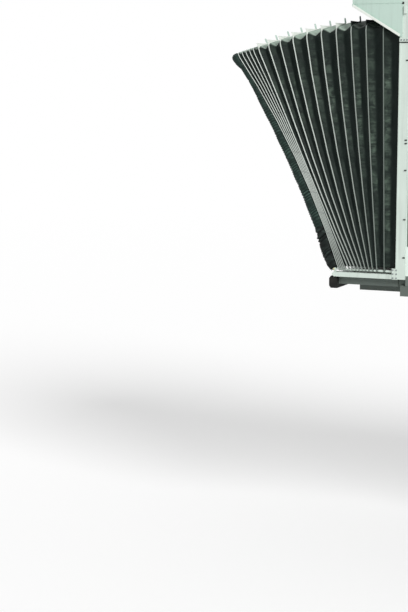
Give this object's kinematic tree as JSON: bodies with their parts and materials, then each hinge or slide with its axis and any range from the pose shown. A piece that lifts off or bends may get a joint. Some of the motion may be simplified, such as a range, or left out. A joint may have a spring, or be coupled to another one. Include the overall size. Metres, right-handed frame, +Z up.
{
  "type": "passenger boarding bridge with a pleated canopy",
  "caption": "Jet bridge from the terminal to the aircraft door: a rotunda on a column, a telescoping tunnel on a wheeled lift, a cab and a fan-folding pleated canopy.",
  "frame": {"origin": "centre of the underside of the rotunda column flange, on the ground", "axes": "+Z up; the bridge runs towards -X, where the cab and its canopy face; the canopy side nearest the picture is -Y"},
  "size_m": [16.7481, 4.2406, 7.1],
  "materials": {
    "white_paint": "weathered gloss",
    "grey_paint": "weathered satin",
    "galvanised_steel": "galvanised",
    "yellow_paint": "satin",
    "tyre_rubber": "matt",
    "bumper_rubber": "matt",
    "foot_rod": "white paint",
    "bow_aluminium": "dull",
    "canopy_fabric": "coated fabric, semi-gloss",
    "pad_cover": "coated fabric, semi-gloss",
    "window_glass": "clear"
  },
  "bodies": {
    "bridge": {"base_column": "grey_paint", "rotunda_floor": "grey_paint", "rotunda_curtains": "white_paint", "rotunda_roof": "white_paint", "terminal_collar": "white_paint", "inner_tunnel_floor": "grey_paint", "inner_tunnel_walls": "white_paint", "inner_tunnel_roof": "white_paint", "outer_tunnel_floor": "grey_paint", "outer_tunnel_walls": "white_paint", "outer_tunnel_roof": "white_paint", "tunnel_collar": "white_paint", "service_door": "grey_paint", "lift_frame": "white_paint", "lift_lower_tubes": "galvanised_steel", "wheel_carriage": "grey_paint", "wheel_rims": "grey_paint", "tyres": "tyre_rubber", "stair_landing": "galvanised_steel", "stair_stringers": "galvanised_steel", "stair_treads": "galvanised_steel", "stair_handrails": "yellow_paint", "stair_wheels": "tyre_rubber", "cab_floor": "grey_paint", "cab_walls": "white_paint", "cab_curtains": "white_paint", "cab_roof": "white_paint", "cab_glass": "window_glass", "portal_posts": "white_paint", "portal_header": "white_paint", "canopy_hood": "white_paint", "canopy_rails": "white_paint", "foot_rods": "foot_rod", "bumper": "bumper_rubber", "canopy_fabric": "canopy_fabric"},
    "bow_01_frame": {"bow_01": "bow_aluminium"},
    "bow_02_frame": {"bow_02": "bow_aluminium"},
    "bow_03_frame": {"bow_03": "bow_aluminium"},
    "bow_04_frame": {"bow_04": "bow_aluminium"},
    "bow_05_frame": {"bow_05": "bow_aluminium"},
    "bow_06_frame": {"bow_06": "bow_aluminium"},
    "bow_07_frame": {"bow_07": "bow_aluminium"},
    "bow_08_frame": {"bow_08": "bow_aluminium"},
    "bow_09_frame": {"bow_09": "bow_aluminium"},
    "bow_10_frame": {"bow_10": "bow_aluminium"},
    "bow_11_frame": {"bow_11": "bow_aluminium"},
    "bow_12_frame": {"bow_12": "bow_aluminium"},
    "bow_13_frame": {"bow_13": "bow_aluminium"},
    "bow_14_frame": {"bow_14": "bow_aluminium"},
    "lead_frame": {"lead_bow": "bow_aluminium", "front_pad": "pad_cover"}
  },
  "joints": [
    {"name": "bow_01_fold", "type": "hinge", "parent": "bridge", "child": "bow_01_frame", "pos_m": [-12.35474, 0, 3.79], "axis": [0, 1, 0], "range_deg": [0, 1.22]},
    {"name": "bow_02_fold", "type": "hinge", "parent": "bridge", "child": "bow_02_frame", "pos_m": [-12.44734, 0, 3.79], "axis": [0, 1, 0], "range_deg": [0, 3.18]},
    {"name": "bow_03_fold", "type": "hinge", "parent": "bridge", "child": "bow_03_frame", "pos_m": [-12.50026, 0, 3.79], "axis": [0, 1, 0], "range_deg": [0, 5.37]},
    {"name": "bow_04_fold", "type": "hinge", "parent": "bridge", "child": "bow_04_frame", "pos_m": [-12.54524, 0, 3.79], "axis": [0, 1, 0], "range_deg": [0, 7.74]},
    {"name": "bow_05_fold", "type": "hinge", "parent": "bridge", "child": "bow_05_frame", "pos_m": [-12.58864, 0, 3.79], "axis": [0, 1, 0], "range_deg": [0, 10.18]},
    {"name": "bow_06_fold", "type": "hinge", "parent": "bridge", "child": "bow_06_frame", "pos_m": [-12.63172, 0, 3.79], "axis": [0, 1, 0], "range_deg": [0, 12.61]},
    {"name": "bow_07_fold", "type": "hinge", "parent": "bridge", "child": "bow_07_frame", "pos_m": [-12.67474, 0, 3.79], "axis": [0, 1, 0], "range_deg": [0, 14.92]},
    {"name": "bow_08_fold", "type": "hinge", "parent": "bridge", "child": "bow_08_frame", "pos_m": [-12.71774, 0, 3.79], "axis": [0, 1, 0], "range_deg": [0, 17.02]},
    {"name": "bow_09_fold", "type": "hinge", "parent": "bridge", "child": "bow_09_frame", "pos_m": [-12.76074, 0, 3.79], "axis": [0, 1, 0], "range_deg": [0, 18.83]},
    {"name": "bow_10_fold", "type": "hinge", "parent": "bridge", "child": "bow_10_frame", "pos_m": [-12.80374, 0, 3.79], "axis": [0, 1, 0], "range_deg": [0, 20.27]},
    {"name": "bow_11_fold", "type": "hinge", "parent": "bridge", "child": "bow_11_frame", "pos_m": [-12.84674, 0, 3.79], "axis": [0, 1, 0], "range_deg": [0, 20.27]},
    {"name": "bow_12_fold", "type": "hinge", "parent": "bridge", "child": "bow_12_frame", "pos_m": [-12.86874, 0, 3.79], "axis": [0, 1, 0], "range_deg": [0, 20.27]},
    {"name": "bow_13_fold", "type": "hinge", "parent": "bridge", "child": "bow_13_frame", "pos_m": [-12.89074, 0, 3.79], "axis": [0, 1, 0], "range_deg": [0, 20.27]},
    {"name": "bow_14_fold", "type": "hinge", "parent": "bridge", "child": "bow_14_frame", "pos_m": [-12.91274, 0, 3.79], "axis": [0, 1, 0], "range_deg": [0, 20.27]},
    {"name": "canopy_fold", "type": "hinge", "parent": "bridge", "child": "lead_frame", "pos_m": [-12.93474, 0, 3.79], "axis": [0, 1, 0], "range_deg": [0, 20.25], "deforming": ["canopy_fabric"]}
  ],
  "couplings": [
    {"joint": "bow_01_fold", "follows": "canopy_fold", "ratio": 0.05926},
    {"joint": "bow_02_fold", "follows": "canopy_fold", "ratio": 0.15626},
    {"joint": "bow_03_fold", "follows": "canopy_fold", "ratio": 0.26425},
    {"joint": "bow_04_fold", "follows": "canopy_fold", "ratio": 0.38116},
    {"joint": "bow_05_fold", "follows": "canopy_fold", "ratio": 0.50193},
    {"joint": "bow_06_fold", "follows": "canopy_fold", "ratio": 0.62168},
    {"joint": "bow_07_fold", "follows": "canopy_fold", "ratio": 0.73572},
    {"joint": "bow_08_fold", "follows": "canopy_fold", "ratio": 0.83962},
    {"joint": "bow_09_fold", "follows": "canopy_fold", "ratio": 0.92909},
    {"joint": "bow_10_fold", "follows": "canopy_fold", "ratio": 1},
    {"joint": "bow_11_fold", "follows": "canopy_fold", "ratio": 1},
    {"joint": "bow_12_fold", "follows": "canopy_fold", "ratio": 1},
    {"joint": "bow_13_fold", "follows": "canopy_fold", "ratio": 1},
    {"joint": "bow_14_fold", "follows": "canopy_fold", "ratio": 1}
  ]
}
